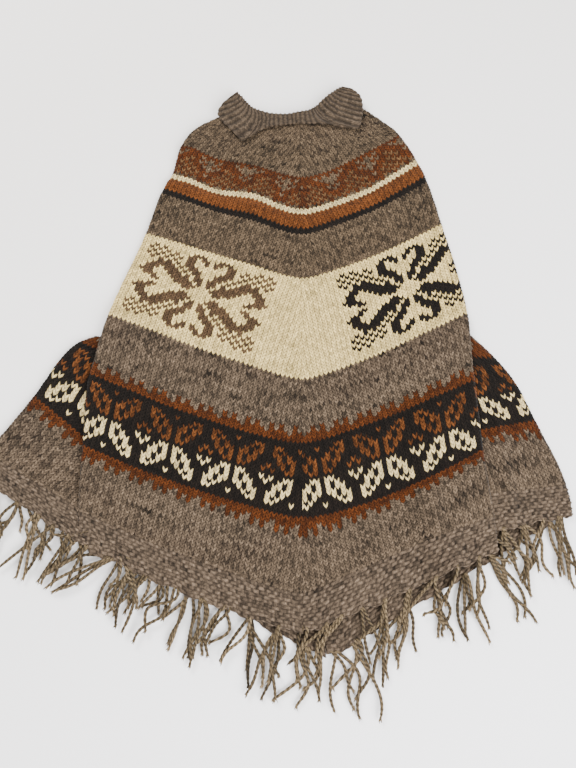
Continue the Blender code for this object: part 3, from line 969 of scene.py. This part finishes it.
def strand_part(start, heading, length, sway, level):
    """One strand: a wandering line, swept with a section of two lobes that turns along it.

    The middle line starts at the hem's edge, heads off by an angle from straight down, and sways
    as two sines. Towards its end it thins, and then six thin cones of fibre fan out.
    """
    steps, sides = 30, 8
    t = np.linspace(0, 1, steps + 1)
    side_way = sway[0] * np.sin(2.6 * t + sway[2]) + sway[1] * np.sin(6.5 * t + sway[3])
    side_way -= side_way[0]
    run = length * t
    x = start[0] + run * math.sin(heading) + side_way * math.cos(heading)
    y = start[1] - run * math.cos(heading) + side_way * math.sin(heading)
    z = level + (start[2] - level) * (1 - smoothstep(t * 3.2))
    line = np.stack([x, y, z], axis=-1)
    tangent = np.gradient(line, axis=0)
    tangent /= np.linalg.norm(tangent, axis=-1, keepdims=True)
    flat = np.cross(tangent, [0, 0, 1.0])
    flat /= np.linalg.norm(flat, axis=-1, keepdims=True)
    upward = np.cross(flat, tangent)
    angle = np.linspace(0, 2 * math.pi, sides, endpoint=False)
    twist = 2 * math.pi * run / PLY_TURN
    lobes = np.abs(np.cos(angle[None, :] - twist[:, None]))
    radius = STRAND_RADIUS * (0.62 + 0.38 * lobes) * (1 - 0.25 * smoothstep((t - 0.85) / 0.15))[:, None]
    around = flat[:, None] * np.cos(angle)[:, None] + upward[:, None] * np.sin(angle)[:, None]
    points = (line[:, None] + around * radius[..., None]).reshape(-1, 3)
    # Painted shade between the two plies, darkest where they meet.
    shaded_hollow = np.clip(1.15 * (1 - lobes) ** 0.8, 0, 1).ravel()
    ring = np.arange(steps)[:, None] * sides
    k = np.arange(sides)
    quads = np.stack([ring + k, ring + (k + 1) % sides, ring + sides + (k + 1) % sides,
                      ring + sides + k], axis=-1).reshape(-1, 4)

    fans, fan_quads, fan_shade = [], [], []
    ups = np.array([0, 0, 1.0])
    for hair in range(HAIRS):
        off = hair - (HAIRS - 1) / 2
        spread = heading + off * 0.12 + rng.normal(0, 0.08)
        reach = rng.uniform(5, 9)
        ahead = np.array([math.sin(spread), -math.cos(spread), 0.0])
        across = np.array([math.cos(spread), math.sin(spread), 0.0])
        root = line[-1] + across * off * 0.45 - ahead * 3
        for place, thick in ((0.0, 0.95), (0.55, 0.8), (1.0, 0.2)):
            middle = root + ahead * (reach * place)
            fans.append([middle + across * thick, middle + ups * thick,
                         middle - across * thick * 0.7 - ups * thick * 0.4])
            # Painted shade on each hair: none on top, a little at one side, most on its underside.
            fan_shade += [0.1, 0.0, 0.4]
        start_at = len(points) + hair * HAIR_POINTS
        for row in (0, 3):
            for a, b in ((0, 1), (1, 2), (2, 0)):
                fan_quads.append([start_at + row + a, start_at + row + 3 + a,
                                  start_at + row + 3 + b, start_at + row + b])
    points = np.concatenate([points, np.array(fans).reshape(-1, 3)])
    shaded_hollow = np.concatenate([shaded_hollow, fan_shade])
    quads = np.concatenate([quads, np.array(fan_quads)])
    points[:, 2] = np.maximum(points[:, 2], 0.1)
    points[:, 1] -= ORIGIN_Y
    colour = np.tile(FRINGE_YARN, (len(quads), 1))
    colour[:, :3] *= rng.normal(1.0, 0.24)
    frayed = HAIRS * HAIR_POINTS
    down = np.concatenate([np.repeat(run, sides), np.full(frayed, length)])
    round_it = np.concatenate([np.tile(angle * 1.4, steps + 1), np.arange(frayed) * 0.3])
    yarn = np.stack([down * 0.6 + start[0], round_it], axis=-1)
    return {"points": points, "shaded_hollows": shaded_hollow, "quads": quads, "colours": colour,
            "yarns": yarn[quads].reshape(-1, 2)}


def fringe_parts(edge_points, spacing, level, lean):
    """Bundles of strands along a hem's edge, a bundle about every so many millimetres."""
    steps = np.linalg.norm(np.diff(edge_points[:, :2], axis=0), axis=1)
    length = np.concatenate([[0], np.cumsum(steps)])
    parts = []
    place = spacing * 0.4
    while place < length[-1] - 3:
        heading = lean + rng.normal(0, 0.20)
        for strand in range(rng.integers(2, 5)):
            at = place + rng.normal(0, 2.6)
            start = np.array([np.interp(at, length, edge_points[:, i]) for i in range(3)])
            start[1] += 2.5
            leaning = -0.40 * math.sin(math.pi * min(max(-start[0] / 500, 0), 1))
            sway = (rng.normal(0, 10), rng.normal(0, 3.6), rng.uniform(0, 6), rng.uniform(0, 6))
            parts.append(strand_part(
                start, heading + leaning + rng.normal(0, 0.15), rng.uniform(SHORTEST, LONGEST), sway,
                level + rng.uniform(0, 4)))
        place += spacing * rng.uniform(0.75, 1.25)
    return parts


def hem_edge(laid, side, first, last, steps=60):
    """Points along a hem between two distances from the centre line, outwards."""
    across = np.linspace(first, last, steps)
    points, _ = waved(laid)(side, np.full(steps, float(HEM_COUNT)), across)
    return points


def hem_ends(laid, side):
    return laid(side, np.array([float(HEM_COUNT)]), np.zeros(1))[1][:, 0]


left, right = hem_ends(laid_front, -1), hem_ends(laid_front, 1)
main_hem = np.concatenate([hem_edge(laid_front, -1, left[4], 0)[:-1], hem_edge(laid_front, 1, 0, right[0])])
side_hem = hem_edge(laid_front, 1, right[3] + 4, right[4])
back_left, back_right = hem_ends(laid_back, -1), hem_ends(laid_back, 1)
back_hem = np.concatenate([hem_edge(laid_back, -1, back_left[0] - 2, 0)[:-1],
                           hem_edge(laid_back, 1, 0, back_right[0] - 2)])
for name, node, edge, spacing, level, lean in (
    ("fringe_front_yarn", "fringe_front", main_hem, 34, 5.5, -0.10),
    ("fringe_side_yarn", "fringe_side", side_hem, 28, 5.5, 0.02),
    ("fringe_back_yarn", "fringe_back", back_hem, 42, 2.6, -0.05),
):
    piece = knit_mesh(name, fringe_parts(edge, spacing, level, lean))
    piece.data.materials.append(knit_wool)
    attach(piece, "root")
    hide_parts(node)

# ---------------------------------------------------------------------------------------------
# The surface it lies on, the camera and the light.
# ---------------------------------------------------------------------------------------------
FLOOR_REACH, FLOOR_LEVEL = 6, -0.0006
HALF_VIEW, TILT = math.radians(27), math.radians(18)
floor_mesh = bpy.data.meshes.new("floor")
floor_mesh.from_pydata(
    [(x * FLOOR_REACH, y * FLOOR_REACH, FLOOR_LEVEL) for x, y in ((-1, -1), (1, -1), (1, 1), (-1, 1))],
    [], [(0, 1, 2, 3)])
floor = bpy.data.objects.new("floor", floor_mesh)
bpy.context.scene.collection.objects.link(floor)
paper = Maker("pale_floor")
place = paper.node("ShaderNodeTexCoord", {}, output=3)
right_of = paper.node("ShaderNodeSeparateXYZ", {}, output=0, Vector=place)
up_of = paper.node("ShaderNodeSeparateXYZ", {}, output=1, Vector=place)
# Painted light: the floor is greyer to the top left and paler and a little bluer to the bottom right,
# standing in for the room's uneven light.
painted_light_share = (0.5 + 0.45 * right_of - 0.7 * up_of).math("MINIMUM", 1.0).math("MAXIMUM", 0.0)
sheet_with_painted_light = paper.node("ShaderNodeMix", {"data_type": "RGBA"}, output=2, i0=painted_light_share,
                          i6=(0.86, 0.83, 0.80, 1), i7=(0.985, 0.98, 1.0, 1))
floor_mesh.materials.append(paper.set(Base_Color=sheet_with_painted_light, Roughness=0.9, Specular_IOR_Level=0.1))

world = bpy.data.worlds.new("room")
bpy.context.scene.world = world
world.use_nodes = True
world.node_tree.nodes["Background"].inputs["Color"].default_value = (1.0, 0.99, 0.98, 1)
world.node_tree.nodes["Background"].inputs["Strength"].default_value = 1.3

for name, place, size, power in (
    ("window", (-1.3, 1.6, 2.0), 1.2, 105.0),
    ("room_side", (1.4, -1.8, 1.7), 2.0, 220.0),
):
    light = bpy.data.lights.new(name, "AREA")
    light.size, light.energy = size, power
    lamp = bpy.data.objects.new(name, light)
    lamp.location = place
    aim = math.atan2(math.hypot(place[0], place[1]), place[2])
    lamp.rotation_euler = (aim, 0, math.atan2(-place[0], place[1]) + math.pi)
    bpy.context.scene.collection.objects.link(lamp)

camera = bpy.data.cameras.new("camera")
camera.sensor_width = 36.0
camera.lens = camera.sensor_width / 2 / math.tan(HALF_VIEW)
eye = bpy.data.objects.new("camera", camera)
eye.location = (-0.020, -0.380, 1.055)
eye.rotation_euler = (TILT, 0, 0)
bpy.context.scene.collection.objects.link(eye)
bpy.context.scene.camera = eye
